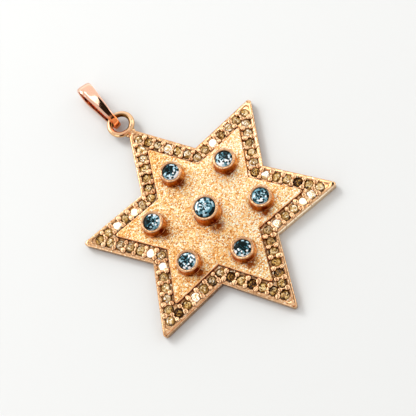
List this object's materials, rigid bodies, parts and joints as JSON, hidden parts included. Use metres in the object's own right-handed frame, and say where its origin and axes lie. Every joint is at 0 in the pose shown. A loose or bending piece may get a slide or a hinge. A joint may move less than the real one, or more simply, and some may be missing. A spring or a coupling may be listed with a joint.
{
  "type": "star pendant",
  "caption": "Rose gold star pendant with a frosted panel, blue stones in tall tube settings, a diamond-set outline, a soldered ring and a tapered bail that takes a chain.",
  "frame": {"origin": "middle of the star's flat back, on the surface that it lies on", "axes": "+Z out of the star's face, +Y from the middle of the star towards the tip with the ring and the bail, +X to the right as the face is seen"},
  "size_m": [0.0312, 0.0461, 0.0043],
  "materials": {
    "rose_gold": "polished rim, settings, ring and bail; fine frosted grain on the raised panel",
    "blue_stone": "cut and polished",
    "champagne_diamond": "cut and polished"
  },
  "bodies": {
    "pendant": {"star": "rose_gold", "centre_stone": "blue_stone", "accent_stone_1": "blue_stone", "accent_stone_2": "blue_stone", "accent_stone_3": "blue_stone", "accent_stone_4": "blue_stone", "accent_stone_5": "blue_stone", "accent_stone_6": "blue_stone", "pave_diamonds": "champagne_diamond"},
    "bail": {"bail": "rose_gold"}
  },
  "joints": [
    {"name": "bail_swing", "type": "hinge", "parent": "pendant", "child": "bail", "pos_m": [-0.0008, 0.02105, 0.00122], "axis": [1, 0, 0], "range_deg": [-130, 115]}
  ]
}
